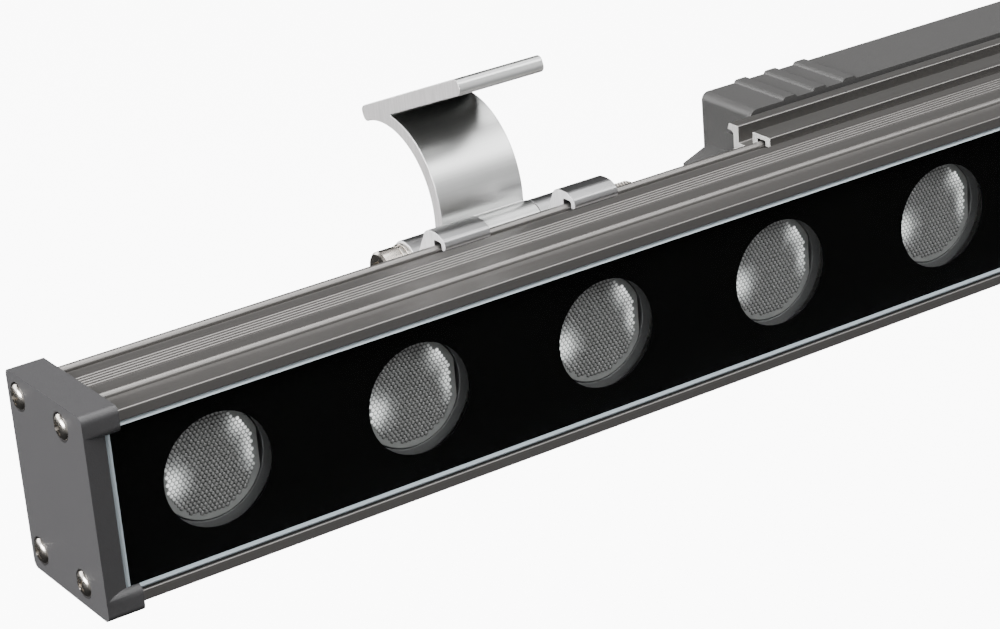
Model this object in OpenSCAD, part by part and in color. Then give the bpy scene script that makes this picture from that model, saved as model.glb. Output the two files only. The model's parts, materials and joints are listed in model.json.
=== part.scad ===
// Outdoor wall washer light: a linear aluminium housing with a row of lenses behind glass,
// held by two clip brackets with tilting arms, with its driver on a rail behind it.
// It is drawn with X along the lamp, Y from its front face to its back and Z up. The middle
// of the front face is at zero, until the finished lamp is moved to its left wall hole.

/* [Housing] */
// Number of lenses in the row
lens_n = 12; // [11:1:20]
// Distance between neighbouring lenses
lens_pitch = 49; // [42:0.5:60]
// Distance from an end lens to the outside of its cap
end_margin = 30.5; // [27:0.5:60]
// Height of the housing over its ribbed flats
house_h = 44.8; // [43.6:0.1:45.4]
// Depth of the housing from its front face to its back
house_d = 30.05; // [29:0.05:36]
// Height of the lower front part of the housing
front_h = 42.7; // [42:0.1:43.5]
// Depth of the lower front part of the housing
front_d = 6.8; // [5:0.1:9]
// Wall of the housing beside the lens room
house_wall = 2.4; // [1.5:0.1:3]
// Thickness of the wall that carries the light board
back_wall = 2.9; // [2:0.1:4]
// Depth of the spaces between the cooling fins
fin_depth = 4.25; // [2:0.05:5]
// Number of spaces between the cooling fins
fin_n = 6; // [3:1:8]
// Thickness of a cooling fin
fin_t = 1.6; // [1:0.1:2.5]
// Radius of the round bead on each back edge
bead_r = 1.15; // [0.9:0.05:1.3]
// Depth of the groove in front of the bead
groove_depth = 2.8; // [2.4:0.05:2.9]
// Width of the groove in front of the bead
groove_w = 6.35; // [5:0.05:8]
// Number of fine ribs on each flat
rib_n = 5; // [1:1:6]
// Distance between the fine ribs
rib_pitch = 1.2; // [0.9:0.1:1.5]
// Height of the fine ribs
rib_h = 0.3; // [0.1:0.05:0.4]

/* [End caps] */
// Thickness of an end cap along the lamp
cap_t = 8.3; // [7:0.1:12]
// Height of an end cap
cap_h = 45.6; // [45.5:0.1:50]
// Distance that the cap stands out in front of the housing
cap_front_out = 1.4; // [1:0.1:3]
// Distance that the cap stands out behind the housing
cap_back_out = 2.45; // [1:0.05:4]
// Radius of the cap's long edges
cap_r = 1.6; // [0.5:0.1:2]
// Height of each ear at the cap's front, under its rounding
ear_h = 3.9; // [3:0.1:5]
// Radius of the rounding on an ear
ear_r = 2; // [1:0.1:2.5]
// Thickness of the cap's gasket
cap_gasket_t = 0.8; // [0.4:0.1:1.5]
// Distance of the front cap screws behind the housing's front
cap_screw_front = 8.6; // [8:0.1:10]
// Distance of the rear cap screws in front of the housing's back
cap_screw_back = 2.05; // [2.05:0.05:2.5]
// Height of the cap screws above and below the middle
cap_screw_z = 17.6; // [17.2:0.1:17.7]
// Length of a cap screw under its head
cap_screw_l = 18; // [12:1:25]

/* [Glass and optics] */
// Thickness of the front glass
glass_t = 2.8; // [2:0.1:3.2]
// Height of the front glass
glass_h = 37.2; // [36:0.1:38]
// Distance that the glass runs into each cap
glass_over = 2.6; // [1:0.1:3.5]
// Radius of the clear round windows
window_r = 12.6; // [9:0.1:14]
// Thickness of the black print
print_t = 0.2; // [0.1:0.05:0.4]
// Thickness of the seal behind the glass
seal_t = 0.8; // [0.5:0.1:1]
// Radius of a lens at its front
lens_r = 12.4; // [9:0.1:13]
// Distance of the lens behind the print
lens_set_back = 3.6; // [2.5:0.1:5]
// Height of the light board
board_h = 28.6; // [26:0.2:30]
// Thickness of the light board
board_t = 1.6; // [1:0.1:2]

/* [Brackets] */
// Distance of each bracket from the middle of the lamp
bracket_x = 173.4; // [170:0.2:230]
// Width of an arm and of its knuckle
arm_w = 22.6; // [16:0.2:26]
// Width of one jaw of a clip
jaw_w = 12.1; // [9:0.1:14]
// Distance of the tilt axis behind the housing's back
axis_out = 13.35; // [12:0.05:18]
// Height of the tilt axis above the middle
axis_z = 12.5; // [11:0.1:14]
// Radius of the knuckle on an arm
knuckle_r = 5.1; // [4.5:0.1:6]
// Radius of the boss on a jaw
boss_r = 5; // [4.5:0.1:6]
// Radius of the arm's curve on its hollow side
arm_r = 19.1; // [17:0.1:24]
// Thickness of the arm
arm_t = 3.2; // [2.5:0.1:4]
// Angle of the wall flange from level
flange_tilt = 21.5; // [10:0.5:35]
// Length of the wall flange
flange_l = 46.3; // [42:0.1:60]
// Thickness of the wall flange
flange_t = 3.8; // [3:0.1:5]
// Radius of the screw hole in the wall flange
wall_hole_r = 3.2; // [2:0.1:4]
// Distance of the screw hole from the flange's free end
wall_hole_in = 13; // [8:0.5:18]
// Thickness of the clip's leg behind the housing
leg_t = 3; // [2.5:0.1:4]
// Thickness of the clip's lip in the groove
hook_t = 1.75; // [1.2:0.05:2]
// Thickness of the clip's roof over the bead
roof_t = 2; // [1.5:0.1:3]
// Radius of the clamp screw
clamp_r = 2.5; // [2:0.25:2.75]
// Length of the clamp screw under its head
clamp_l = 65; // [55:1:68]

/* [Driver] */
// Length of the driver's case
driver_l = 196.4; // [170:0.2:230]
// Length of the cable nose on each end of the case
nose_l = 7.8; // [6:0.1:10]
// Height of the driver's case
driver_h = 45.6; // [44:0.1:60]
// Depth of the driver's case
driver_d = 19.1; // [17:0.1:26]
// Wall of the driver's case
driver_wall = 2; // [1.5:0.1:2.5]
// Radius of the case's edges
case_r = 2; // [1:0.1:3]
// Height of the driver's back plate
plate_h = 39.2; // [37:0.1:39.8]
// Thickness of the driver's back plate
plate_t = 3.1; // [2.5:0.1:4]
// Thickness of the driver's gasket
driver_gasket_t = 0.8; // [0.5:0.1:1]
// Distance from the housing's back to the rail's wall
rail_out = 7.5; // [6:0.1:8]
// Thickness of the rail's wall
rail_t = 2.05; // [1.5:0.05:2.5]
// Thickness of the rail's hook
rail_hook_t = 1.85; // [1.5:0.05:2]
// Height of the rail above and below the middle
rail_top = 22.3; // [22.3:0.1:24]
// Height of the rail's shelf above and below the middle
rail_shelf = 18.05; // [16:0.05:18.5]
// Height of the ribs across the driver's case
case_rib_h = 0.7; // [0.4:0.1:1.5]
// Width of a rib across the driver's case
case_rib_w = 4.3; // [3:0.1:6]
// Distance between the ribs across the driver's case
case_rib_pitch = 9.3; // [7:0.1:12]
// Number of ribs near each end of the driver's case
case_rib_n = 3; // [1:1:5]
// Radius of the cable that the glands take
cable_r = 2.6; // [2:0.1:3]

/* [Hidden] */
$fn = 48;

// Clearances, and the overrun of a cut past the face that it opens
over = 1;
slip = 0.3;
play = 0.08;
side_gap = 0.1;
room = 0.4;

// Screws: their thread, pan head and the sink of the head into what it holds
tap_r = 1.45;
port_r = tap_r + play;
port_wall = 0.6;
pan_r = 2.95;
pan_h = 1.9;
pan_sunk = 1.1;
cross_w = 0.75;
cross_l = 3.8;

// Lengths along the lamp
lamp_l = (lens_n - 1) * lens_pitch + 2 * end_margin;
cap_in = lamp_l / 2 - cap_t;
house_l = 2 * cap_in;
glass_l = house_l + 2 * glass_over;

// The housing's section, from its front to its back
glass_gap = 0.2;
pocket_z = glass_h / 2 + glass_gap;
glass_y = 0.2;
print_y = glass_y + glass_t;
seal_y = print_y + print_t;
ledge_y = seal_y + seal_t;
opening_z = cap_screw_z - port_r - port_wall;
port_end_y = cap_screw_front + port_r + port_wall;
step_r = (house_h - front_h) / 2;
bead_y = house_d - bead_r;
groove_floor = house_h / 2 - groove_depth;
bead_lift = 0.1;
bead_z = groove_floor + bead_lift;
groove_y = bead_y - bead_r - groove_w;
room_end_y = groove_y - house_wall;
rib_from_groove = 4.1;
seat_y = house_d - fin_depth - back_wall;
blind_wall = 0.6;
fin_pitch = 2 * opening_z / fin_n;

// The light board and what stands on it
board_y = seat_y - board_t;
board_short = 3;
board_l = house_l - 2 * board_short;
led_w = 5;
led_base = 0.9;
led_dome = 1.8;
lens_y = seal_y + lens_set_back;
lens_foot_gap = 1.8;
lens_h = board_y - lens_foot_gap - lens_y;
lens_rim = 1.8;
lens_foot_share = 0.42;
lens_foot_r = lens_foot_share * lens_r;
lens_flat_share = 0.93;
lens_flat = lens_flat_share * lens_r;
led_room_r = 3.4;
led_room_h = 3.6;
holder_t = 1.4;
holder_w = 2 * (lens_r + holder_t);
cup_wall = 0.9;
lug_t = 1;
lug_in = 0.6;
terminal_w = 5;
terminal_h = 8;

// The cap's section
cap_d = house_d + cap_front_out + cap_back_out;
cap_mid_y = (house_d + cap_back_out - cap_front_out) / 2;
cap_hollow_t = 4.2;
gasket_w = 1.5;

// Glands
gland_r = 5;
gland_bore_r = cable_r + slip;
gland_hex_r = 7.2;
gland_hex_t = 4;
gland_nut_r = 6.4;
gland_wall = 1.2;
gland_seal_l = 6;
gland_nut_l = gland_seal_l + gland_wall;
lamp_gland_y = seat_y / 2 + ledge_y;

// Clips and their screws
hook_front = bead_y - bead_r - slip;
hook_back = house_d + slip;
lip_end = groove_floor + slip;
roof_gap = 0.75;
clip_slot_z = bead_z + bead_r + roof_gap;
clip_top = clip_slot_z + roof_t;
rail_slot_z = bead_z + bead_r + slip;
axis_y = house_d + axis_out;
jaw_in = arm_w / 2 + side_gap;
jaw_out = jaw_in + jaw_w;
flat_washer_t = 1;
spring_washer_t = 1.1;
head_share = 1.7;
head_r = head_share * clamp_r;
head_h = 2 * clamp_r;
head_x = jaw_out + flat_washer_t + spring_washer_t;

// The arm's curve, and its flange with the wall hole
arm_centre_shares = [1.32, 0.235];
arm_c = [axis_y, axis_z] + arm_r * arm_centre_shares;
arm_shift_shares = [-0.36, 0.31];
arm_c2 = arm_c + arm_t * arm_shift_shares;
arm_swell_share = 0.62;
arm_r2 = arm_r + arm_swell_share * arm_t;
flange_tail = 0.9;
flange_edge_r = 0.6;
flange_sink = 0.05;
hole_f = flange_l - flange_tail - wall_hole_in;
flange_top = arm_r + flange_t;
flange_normal = [sin(flange_tilt), cos(flange_tilt)];
flange_along = [-cos(flange_tilt), sin(flange_tilt)];
wall_hole = arm_c + flange_top * flange_normal + hole_f * flange_along;

// The driver, from its rail to the back of its case
wall_y = house_d + rail_out;
plate_y = wall_y + rail_t;
case_y = plate_y + plate_t;
case_back = case_y + driver_d;
rail_l = driver_l + 2 * nose_l;
rear_lip = 2.2;
rear_lip_h = 1.7;
nose_h = 20;
nose_taper = 2.9;
nose_front = 2;
nose_back = 1.6;
driver_gland_y = (case_y + nose_front + case_back - nose_back) / 2;
case_rib_in = 12.3;
case_rib_r = 0.9;
boss_wall = 1.1;
case_boss_r = port_r + boss_wall;
rail_screw_in = 21.2;
rail_screw_x = rail_l / 2 - rail_screw_in;
rail_screw_z = 12.5;
case_in_h = driver_h - 2 * driver_wall;
case_in_l = driver_l - 2 * driver_wall;
case_screw_x = case_in_l / 2 - 0.8 * case_boss_r;
case_screw_z = plate_h / 2 - case_boss_r;
pad_h = 2.5;
pad_r = 3;
circuit_y = case_y + pad_h;
circuit_t = 1.6;
circuit_h = 2 * (case_screw_z - case_boss_r - room);
circuit_l = case_in_l - 2 * room;
pad_x = case_screw_x - case_boss_r - pad_r - room;
pad_z = circuit_h / 2 - pad_r - room;
parts_y = circuit_y + circuit_t;
parts_h = case_back - driver_wall - room - parts_y;

// The finished lamp, moved so that its origin is the left arm's wall hole
module placed() translate([bracket_x, -wall_hole[0], -wall_hole[1]]) children();

// A flat (Y, Z) outline run along X from x0 over a length
module along_x(x0, len) translate([x0, 0, 0]) rotate([90, 0, 90]) linear_extrude(len) children();

// A rod along X, and one along Y
module rod_x(x0, len, r) translate([x0, 0, 0]) rotate([0, 90, 0]) cylinder(h = len, r = r);
module rod_y(y0, len, r) translate([0, y0, 0]) rotate([-90, 0, 0]) cylinder(h = len, r = r);

// The same shape on both long edges of an outline, and on both ends of the lamp
module both_edges() {
    children();
    mirror([0, 1]) children();
}
module both_ends() {
    children();
    mirror([1, 0, 0]) children();
}

// A rectangle from one corner to the other, and one with round corners about its middle
module box2(a, b) translate(a) square(b - a);
module round_rect(w, h, r) {
    square([w - 2 * r, h], center = true);
    square([w, h - 2 * r], center = true);
    for (sx = [-1, 1], sy = [-1, 1])
        translate([sx * (w / 2 - r), sy * (h / 2 - r)]) circle(r);
}

// A flat plate with its front face at y, centred along the lamp and about the middle
module pane(y, t, h, l) translate([-l / 2, y, -h / 2]) cube([l, t, h]);

// Pan head screw with a cross recess, its head towards +X and seated at zero
module pan_screw(len) difference() {
    rotate([0, 90, 0]) rotate_extrude() polygon([
        [0, -len],
        [tap_r, -len],
        [tap_r, 0],
        [pan_r, 0],
        [pan_r, 0.5 * pan_h],
        [0.85 * pan_r, 0.85 * pan_h],
        [0.6 * pan_r, pan_h],
        [0, pan_h]]);
    for (a = [0, 90]) rotate([a, 0, 0])
        translate([pan_h / 2, -cross_l / 2, -cross_w / 2]) cube([pan_h, cross_l, cross_w]);
}

// Where things repeat along the lamp or round a cap
module lens_places() for (i = [0 : lens_n - 1])
    translate([(i - (lens_n - 1) / 2) * lens_pitch, 0, 0]) children();
module board_screw_places() for (i = [0 : lens_n - 2])
    translate([(i - (lens_n - 2) / 2) * lens_pitch, 0, 0]) children();
module cap_screw_places() for (y = [cap_screw_front, house_d - cap_screw_back])
    for (z = [-cap_screw_z, cap_screw_z])
        translate([0, y, z]) children();

// Housing: an extruded tube with a glass pocket, ribs, beads, fins and screw ports
module housing_outline() difference() {
    union() {
        box2([0, -front_h / 2], [front_d + step_r, front_h / 2]);
        box2([front_d, -house_h / 2], [groove_y, house_h / 2]);
        box2([groove_y - over, -groove_floor], [house_d, groove_floor]);
        both_edges() {
            translate([bead_y, bead_z]) circle(bead_r);
            for (i = [0 : rib_n - 1])
                translate([groove_y - rib_from_groove - i * rib_pitch, house_h / 2]) circle(rib_h);
        }
    }
    both_edges() difference() {
        box2([front_d - over, front_h / 2], [front_d + step_r, house_h / 2 + over]);
        translate([front_d + step_r, front_h / 2]) circle(step_r);
    }
}

// The pocket for the glass, the opening behind it, the lens room and the spaces between fins
module housing_room() {
    box2([-over, -pocket_z], [ledge_y, pocket_z]);
    box2([ledge_y - over, -opening_z], [seat_y, opening_z]);
    box2([port_end_y, -house_h / 2 + house_wall], [room_end_y, house_h / 2 - house_wall]);
    for (i = [0 : fin_n - 1])
        translate([seat_y + back_wall, (i - fin_n / 2) * fin_pitch + fin_t / 2])
            square([fin_depth + over, fin_pitch - fin_t]);
}

module housing() placed() color([0.45, 0.44, 0.43]) difference() {
    along_x(-house_l / 2, house_l) difference() {
        housing_outline();
        housing_room();
    }
    cap_screw_places() rod_x(-house_l / 2 - over, house_l + 2 * over, port_r);
    board_screw_places() rod_y(seat_y - over, over + back_wall - blind_wall, port_r);
}

// End caps: cast blocks with two rounded ears and a sloping scoop between them
module gasket_outline(gap) difference() {
    box2([ledge_y - gap, -groove_floor + slip - gap],
         [house_d - slip + gap, groove_floor - slip + gap]);
    box2([ledge_y + gasket_w + gap, -opening_z + gap], [seat_y - gap, opening_z - gap]);
}

module scoop() intersection() {
    along_x(cap_in - over, cap_t + 2 * over) difference() {
        box2([-cap_front_out - over, -cap_h / 2 + ear_h],
             [-cap_front_out + ear_r, cap_h / 2 - ear_h]);
        both_edges() translate([-cap_front_out + ear_r, cap_h / 2 - ear_h]) circle(ear_r);
    }
    translate([0, 0, -cap_h / 2]) linear_extrude(cap_h) polygon([
        [cap_in + cap_t, -cap_front_out],
        [cap_in + cap_t, -cap_front_out - over],
        [cap_in - over, -cap_front_out - over],
        [cap_in - over, glass_y + over],
        [cap_in + glass_over + slip, glass_y + over],
        [cap_in + glass_over + slip, glass_y]]);
}

module cap() difference() {
    along_x(cap_in, cap_t) translate([cap_mid_y, 0]) round_rect(cap_d, cap_h, cap_r);
    scoop();
    // The pocket for the end of the glass, the gasket's recess and the hollow inside
    along_x(cap_in - over, over + glass_over + slip)
        box2([glass_y - side_gap, -pocket_z], [ledge_y, pocket_z]);
    along_x(cap_in - over, over + cap_gasket_t) gasket_outline(play);
    along_x(cap_in - over, over + cap_hollow_t)
        box2([ledge_y + gasket_w + slip, -opening_z + slip], [seat_y - slip, opening_z - slip]);
    cap_screw_places() {
        rod_x(cap_in - over, cap_t + 2 * over, port_r);
        rod_x(cap_in + cap_t - pan_sunk, pan_sunk + over, pan_r + slip);
    }
}

module cap_left() placed() color([0.36, 0.36, 0.37]) mirror([1, 0, 0]) cap();

module cap_right() placed() color([0.36, 0.36, 0.37]) difference() {
    cap();
    translate([0, lamp_gland_y, 0]) rod_x(cap_in - over, cap_t + 2 * over, gland_r + play);
}

module cap_gaskets() placed() color([0.12, 0.12, 0.12]) both_ends() difference() {
    along_x(cap_in, cap_gasket_t) gasket_outline(0);
    cap_screw_places() rod_x(cap_in - over, cap_gasket_t + 2 * over, port_r);
}

module cap_screws() cap_screw_places()
    translate([cap_in + cap_t - pan_sunk, 0, 0]) pan_screw(cap_screw_l);
module cap_screws_left() placed() color("silver") mirror([1, 0, 0]) cap_screws();
module cap_screws_right() placed() color("silver") cap_screws();

// Glass, its black print with round windows, and the seal behind it
module front_glass() placed() color([0.8, 0.9, 0.9, 0.3]) pane(glass_y, glass_t, glass_h, glass_l);

module glass_print() placed() color([0.05, 0.05, 0.05]) difference() {
    pane(print_y, print_t, glass_h, glass_l);
    lens_places() rod_y(print_y - over, print_t + 2 * over, window_r);
}

module glass_seal() placed() color([0.2, 0.2, 0.2]) difference() {
    pane(seal_y, seal_t, glass_h, glass_l);
    pane(seal_y - over, seal_t + 2 * over, 2 * opening_z, house_l - 2 * house_wall);
}

// Light board with its emitters, lenses, holders and screws
module light_board() placed() color([0.85, 0.85, 0.83]) difference() {
    pane(board_y, board_t, board_h, board_l);
    board_screw_places() rod_y(board_y - over, board_t + 2 * over, port_r);
}

module leds() placed() color([0.9, 0.75, 0.5]) lens_places()
    translate([0, board_y, 0]) rotate([90, 0, 0]) {
        linear_extrude(led_base) square(led_w, center = true);
        intersection() {
            translate([0, 0, led_base / 2]) sphere(led_dome + led_base / 2);
            linear_extrude(led_base + led_dome) circle(led_dome);
        }
    }

module lenses() placed() color([0.85, 0.88, 0.9, 0.5]) lens_places()
    translate([0, lens_y + lens_h, 0]) rotate([90, 0, 0]) intersection() {
        rotate_extrude($fn = 64) polygon([
            [0, led_room_h],
            [led_room_r, led_room_h],
            [led_room_r, 0],
            [lens_foot_r, 0],
            [lens_r - slip, lens_h - lens_rim],
            [lens_r, lens_h - lens_rim],
            [lens_r, lens_h],
            [0, lens_h]]);
        translate([-lens_flat, -lens_r, 0]) cube([2 * lens_flat, 2 * lens_r, lens_h]);
    }

// A holder is a cup with three feet for the lens, and two side posts with a lug over its rim
module lens_holders() placed() color([0.15, 0.15, 0.16]) lens_places() {
    difference() {
        union() {
            pane(board_y - holder_t, holder_t, holder_w, holder_w);
            rod_y(lens_y, board_y - lens_y, lens_r + slip + cup_wall);
        }
        rod_y(lens_y - over, board_y - holder_t - lens_y + over, lens_r + slip);
        rod_y(board_y - holder_t - over, holder_t + 2 * over, lens_foot_r + slip);
    }
    both_ends() {
        translate([lens_flat + slip, lens_y - lug_t, -led_w / 2])
            cube([holder_t, board_y - lens_y + lug_t, led_w]);
        translate([lens_flat - lug_in, lens_y - lug_t, -led_w / 2])
            cube([lug_in + slip + holder_t, lug_t, led_w]);
    }
    for (a = [90, 210, 330]) rotate([0, a, 0])
        translate([lens_foot_r - holder_t / 2, lens_y + lens_h, -holder_t / 2])
            cube([holder_t + slip, board_y - lens_y - lens_h, holder_t]);
}

module board_screws() placed() color("silver") board_screw_places()
    translate([0, board_y, 0]) rotate([0, 0, -90]) pan_screw(board_t + back_wall - 2 * blind_wall);

module board_terminal() placed() color([0.9, 0.9, 0.88])
    translate([board_l / 2 - terminal_w, board_y - terminal_w, -terminal_h / 2])
        cube([terminal_w, terminal_w, terminal_h]);

// Cable glands along X, seated on the face at zero, their thread in the wall behind
module gland_body(tail) difference() {
    union() {
        rod_x(-tail, tail + gland_hex_t, gland_r);
        rotate([0, 90, 0]) cylinder(h = gland_hex_t, r = gland_hex_r, $fn = 6);
    }
    rod_x(-tail - over, tail + gland_hex_t + 2 * over, gland_bore_r);
}

module gland_nut() difference() {
    translate([gland_hex_t, 0, 0]) rotate([0, 90, 0]) {
        cylinder(h = gland_seal_l, r = gland_nut_r);
        translate([0, 0, gland_seal_l])
            cylinder(h = gland_wall, r1 = gland_nut_r, r2 = gland_nut_r - gland_wall);
    }
    rod_x(gland_hex_t - over, gland_seal_l + over, gland_nut_r - gland_wall);
    rod_x(gland_hex_t, gland_nut_l + over, gland_bore_r);
}

module gland_seal() difference() {
    rod_x(gland_hex_t, gland_seal_l, gland_nut_r - gland_wall - play);
    rod_x(gland_hex_t - over, gland_seal_l + 2 * over, cable_r);
}

// The lamp's gland is in its right cap, and the driver has one in each nose
module at_lamp_gland() translate([cap_in + cap_t, lamp_gland_y, 0]) children();
module at_driver_glands() both_ends() translate([rail_l / 2, driver_gland_y, 0]) children();

module gland_bodies() placed() color([0.1, 0.1, 0.1]) {
    at_lamp_gland() gland_body(cap_t - cap_hollow_t);
    at_driver_glands() gland_body(nose_l);
}
module gland_nuts() placed() color([0.12, 0.12, 0.12]) {
    at_lamp_gland() gland_nut();
    at_driver_glands() gland_nut();
}
module gland_seals() placed() color([0.2, 0.2, 0.2]) {
    at_lamp_gland() gland_seal();
    at_driver_glands() gland_seal();
}

// Driver rail: a channel that hooks over both beads and carries the driver behind
rail_half = [
    [hook_front - rail_hook_t, lip_end],
    [hook_front, lip_end],
    [hook_front, rail_slot_z],
    [hook_back, rail_slot_z],
    [hook_back, rail_shelf - rail_t],
    [wall_y, rail_shelf - rail_t]];
rail_back_half = [
    [plate_y, rail_top - 1.3 * rear_lip_h],
    [plate_y + 0.4 * rear_lip, rail_top - rear_lip_h],
    [plate_y + rear_lip, rail_top - rear_lip_h],
    [plate_y + 0.7 * rear_lip, rail_top],
    [wall_y, rail_top],
    [wall_y, rail_shelf],
    [hook_back + rail_hook_t, rail_shelf],
    [hook_back + rail_hook_t, rail_top],
    [hook_front - rail_hook_t, rail_top]];

// The points of the upper half, then the same points mirrored, from the last to the first
function mirrored(points) = [for (i = [len(points) - 1 : -1 : 0]) [points[i][0], -points[i][1]]];
module rail_outline() polygon(concat(
    rail_half, mirrored(rail_half), mirrored(rail_back_half), rail_back_half));

module rail_screw_places() for (sx = [-1, 1], sz = [-1, 1])
    translate([sx * rail_screw_x, 0, sz * rail_screw_z]) children();

module driver_rail() placed() color([0.5, 0.49, 0.48]) difference() {
    along_x(-rail_l / 2, rail_l) rail_outline();
    rail_screw_places() rod_y(wall_y - over, rail_t + 2 * over, port_r);
}

module rail_screws() placed() color("silver") rail_screw_places()
    translate([0, wall_y, 0]) rotate([0, 0, -90]) pan_screw(rail_t + plate_t - 2 * blind_wall);

// Driver: back plate, gasket, ribbed case and what works inside it
module pad_places() for (sx = [-1, 1], sz = [-1, 1])
    translate([sx * pad_x, 0, sz * pad_z]) children();
module case_screw_places() for (sx = [-1, 0, 1], sz = [-1, 1])
    translate([sx * case_screw_x, 0, sz * case_screw_z]) children();

module driver_gasket_ring(gap) difference() {
    pane(case_y - driver_gasket_t, driver_gasket_t + gap,
         plate_h - 2 * room + 2 * gap, driver_l - 2 * driver_wall + 2 * gap);
    pane(case_y - driver_gasket_t - over, driver_gasket_t + 2 * over,
         2 * (case_screw_z - case_boss_r - gap), 2 * (case_screw_x - case_boss_r - gap));
}

module driver_plate() placed() color([0.42, 0.42, 0.42]) difference() {
    union() {
        difference() {
            pane(plate_y, plate_t, plate_h, rail_l);
            driver_gasket_ring(play);
        }
        pad_places() rod_y(case_y - over, pad_h + over, pad_r);
    }
    rail_screw_places() rod_y(plate_y - over, over + plate_t - blind_wall, port_r);
    case_screw_places() rod_y(plate_y + blind_wall, plate_t, port_r);
}

module driver_gasket() placed() color([0.12, 0.12, 0.12]) difference() {
    driver_gasket_ring(0);
    case_screw_places() rod_y(case_y - driver_gasket_t - over, driver_gasket_t + 2 * over, port_r);
}

// A block with its long outline in X and Z, run backwards from y
module block_y(y, d, w, h, r) translate([0, y + d, 0]) rotate([90, 0, 0])
    linear_extrude(d) round_rect(w, h, r);

// A cable nose, its top and bottom sloping in towards its end
module nose() translate([0, case_back - nose_back, 0]) rotate([90, 0, 0])
    linear_extrude(driver_d - nose_front - nose_back) polygon([
        [driver_l / 2 - driver_wall / 2, -nose_h / 2],
        [driver_l / 2, -nose_h / 2],
        [rail_l / 2, -nose_h / 2 + nose_taper],
        [rail_l / 2, nose_h / 2 - nose_taper],
        [driver_l / 2, nose_h / 2],
        [driver_l / 2 - driver_wall / 2, nose_h / 2]]);

module driver_case() placed() color([0.42, 0.42, 0.42]) difference() {
    union() {
        block_y(case_y, driver_d, driver_l, driver_h, case_r);
        both_ends() for (i = [0 : case_rib_n - 1])
            translate([driver_l / 2 - case_rib_in - i * case_rib_pitch, 0, 0])
                block_y(case_y, driver_d, case_rib_w, driver_h + 2 * case_rib_h, case_rib_r);
        both_ends() nose();
    }
    difference() {
        block_y(case_y - over, driver_d - driver_wall + over, case_in_l, case_in_h, case_r / 2);
        case_screw_places() rod_y(case_y - 2 * over, driver_d + over, case_boss_r);
    }
    case_screw_places() {
        rod_y(case_y - over, driver_d + 2 * over, port_r);
        rod_y(case_back - pan_sunk, pan_sunk + over, pan_r + slip);
    }
    both_ends() translate([0, driver_gland_y, 0])
        rod_x(case_in_l / 2 - over, nose_l + driver_wall + 2 * over, gland_r + play);
}

module case_screws() placed() color("silver") case_screw_places()
    translate([0, case_back - pan_sunk, 0]) rotate([0, 0, 90])
        pan_screw(driver_d - pan_sunk + plate_t - 2 * blind_wall);

module driver_board() placed() color([0.15, 0.35, 0.2])
    pane(circuit_y, circuit_t, circuit_h, circuit_l);

// Parts on the driver's board: each stands on it at its share of the board's half length
transformer_core_shares = [0.6, 0.8];
transformer_coil_shares = [0.9, 0.5];
capacitor_shares = [-0.72, -0.54, 0.6];
capacitor_r = 5.6;
choke_share = -0.34;
choke_r = 6.7;
choke_hole_r = 2.8;
switch_shares = [0.34, 0.44];
switch_size = [4.5, 10, 8];
switch_z_share = 0.5;
terminal_share = 0.88;
terminal_d = 9;

module on_circuit(share, z) translate([share * circuit_l / 2, parts_y, z]) children();

module transformer() placed() color([0.75, 0.6, 0.2]) {
    pane(parts_y, parts_h, transformer_core_shares[1] * circuit_h,
         transformer_core_shares[0] * circuit_h);
    pane(parts_y + parts_h / 4, parts_h / 2, transformer_coil_shares[1] * circuit_h,
         transformer_coil_shares[0] * circuit_h);
}

module capacitors() placed() color([0.1, 0.12, 0.2])
    for (share = capacitor_shares) on_circuit(share, 0) rod_y(0, parts_h, capacitor_r);

module driver_choke() placed() color([0.7, 0.35, 0.15]) on_circuit(choke_share, 0) difference() {
    rod_y(0, terminal_d, choke_r);
    rod_y(-over, terminal_d + 2 * over, choke_hole_r);
}

module power_switches() placed() color([0.1, 0.1, 0.1])
    for (share = switch_shares, side = [-1, 1])
        on_circuit(share, side * switch_z_share * circuit_h / 2)
            translate([-switch_size[0] / 2, 0, -switch_size[2] / 2]) cube(switch_size);

module driver_terminals() placed() color([0.2, 0.5, 0.3])
    for (side = [-1, 1]) on_circuit(side * terminal_share, 0)
        translate([-terminal_h / 2, 0, -terminal_h]) cube([terminal_h, terminal_d, 2 * terminal_h]);

// Clips: two jaws hooked over both beads, with a boss for the clamp screw.
// The roof's shares are of its own depth and of its height over the lip's foot.
roof_l = 8.4;
roof_h = clip_top - lip_end;
roof_shares = [[0.07, 0], [0, 0.22], [0.07, 0.7], [0.34, 0.97], [0.57, 1], [0.79, 0.96], [1, 0.75]];
web_out = 6.75;
web_drop = 6.4;
toe_t = 1.6;

module clip_outline() difference() {
    union() {
        polygon(concat(
            [for (p = roof_shares)
                [hook_front - hook_t + p[0] * roof_l, lip_end + p[1] * roof_h]],
            [[hook_back + web_out, clip_top - web_drop],
             [axis_y, axis_z],
             [hook_back + leg_t, axis_z - boss_r - leg_t],
             [hook_back, axis_z - boss_r - leg_t]]));
        translate([axis_y, axis_z]) circle(boss_r);
        polygon([
            [hook_back, axis_z],
            [axis_y, axis_z],
            [axis_y, axis_z - boss_r],
            [hook_back + leg_t, axis_z - 2 * boss_r],
            [hook_back, axis_z - 2 * boss_r]]);
        box2([hook_back, -clip_slot_z - toe_t], [hook_back + leg_t, clip_slot_z]);
        box2([hook_front - hook_t, -clip_slot_z - toe_t], [hook_back + leg_t, -lip_end]);
    }
    both_edges() box2([hook_front, -over], [hook_back, clip_slot_z]);
    box2([hook_front - hook_t - over, -lip_end], [hook_back, lip_end]);
}

module clip() both_ends() difference() {
    along_x(jaw_in, jaw_w) clip_outline();
    translate([0, axis_y, axis_z]) rod_x(jaw_in - over, jaw_w + 2 * over, clamp_r + play);
}

module clip_left() placed() color([0.75, 0.75, 0.76]) translate([-bracket_x, 0, 0]) clip();
module clip_right() placed() color([0.75, 0.75, 0.76]) translate([bracket_x, 0, 0]) clip();

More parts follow.
